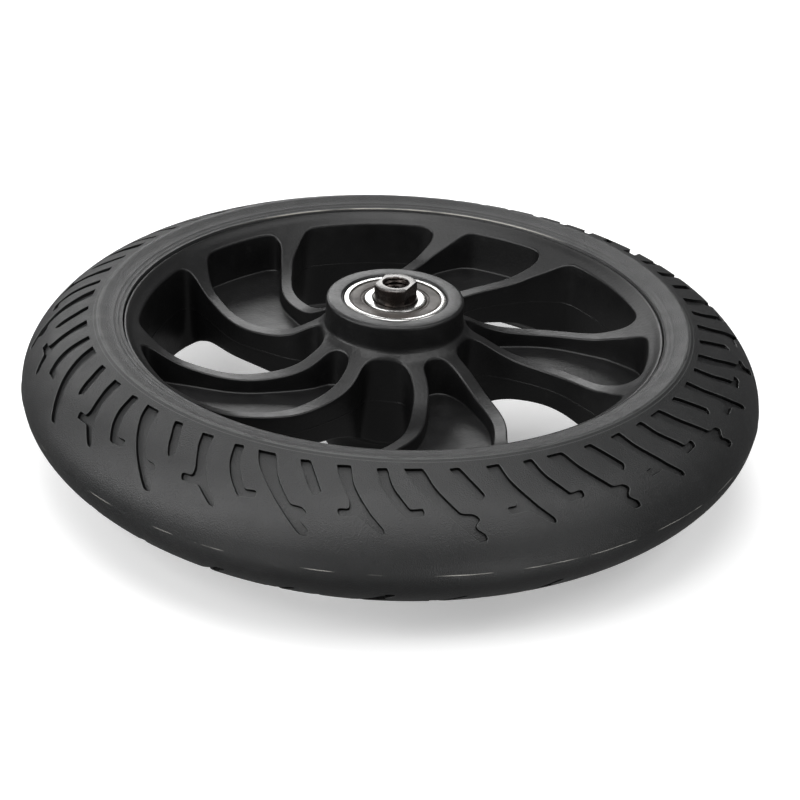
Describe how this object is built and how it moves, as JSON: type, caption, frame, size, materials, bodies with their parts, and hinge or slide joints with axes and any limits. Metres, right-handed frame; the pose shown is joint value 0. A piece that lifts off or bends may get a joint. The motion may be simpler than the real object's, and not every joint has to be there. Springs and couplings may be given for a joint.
{
  "type": "scooter wheel",
  "caption": "Solid-tyred scooter wheel with swept spokes, webbed pockets, two sealed ball bearings and a hollow tapped axle with wrench flats.",
  "frame": {"origin": "centre of the wheel: on the spin axis, halfway between the two sides", "axes": "+Z along the spin axis, up out of the side seen in the picture; +X to the picture's right and +Y away from its viewer"},
  "size_m": [0.2, 0.2, 0.0514],
  "materials": {
    "tyre_rubber": "matte moulded rubber",
    "rim_plastic": "fine satin moulding",
    "bearing_steel": "ground bright steel",
    "seal_rubber": "matte",
    "cage_nylon": "natural nylon",
    "black_steel": "black oxide, turned",
    "spacer_steel": "turned"
  },
  "bodies": {
    "axle_set": {"axle": "black_steel", "bearing_spacer": "spacer_steel", "upper_inner_ring": "bearing_steel", "lower_inner_ring": "bearing_steel"},
    "wheel": {"tyre": "tyre_rubber", "rim": "rim_plastic", "upper_outer_ring": "bearing_steel", "upper_outboard_seal": "seal_rubber", "upper_inboard_seal": "seal_rubber", "lower_outer_ring": "bearing_steel", "lower_outboard_seal": "seal_rubber", "lower_inboard_seal": "seal_rubber"},
    "upper_ball_set": {"upper_cage": "cage_nylon", "upper_ball_1": "bearing_steel", "upper_ball_2": "bearing_steel", "upper_ball_3": "bearing_steel", "upper_ball_4": "bearing_steel", "upper_ball_5": "bearing_steel", "upper_ball_6": "bearing_steel", "upper_ball_7": "bearing_steel", "upper_ball_8": "bearing_steel"},
    "lower_ball_set": {"lower_cage": "cage_nylon", "lower_ball_1": "bearing_steel", "lower_ball_2": "bearing_steel", "lower_ball_3": "bearing_steel", "lower_ball_4": "bearing_steel", "lower_ball_5": "bearing_steel", "lower_ball_6": "bearing_steel", "lower_ball_7": "bearing_steel", "lower_ball_8": "bearing_steel"}
  },
  "joints": [
    {"name": "wheel_spin", "type": "hinge", "parent": "axle_set", "child": "wheel", "pos_m": [0, 0, 0], "axis": [0, 0, 1], "continuous": true},
    {"name": "upper_cage_spin", "type": "hinge", "parent": "axle_set", "child": "upper_ball_set", "pos_m": [0, 0, 0.0171], "axis": [0, 0, 1], "continuous": true},
    {"name": "lower_cage_spin", "type": "hinge", "parent": "axle_set", "child": "lower_ball_set", "pos_m": [0, 0, -0.0171], "axis": [0, 0, 1], "continuous": true}
  ],
  "couplings": [
    {"joint": "upper_cage_spin", "follows": "wheel_spin", "ratio": 0.619},
    {"joint": "lower_cage_spin", "follows": "wheel_spin", "ratio": 0.619}
  ]
}
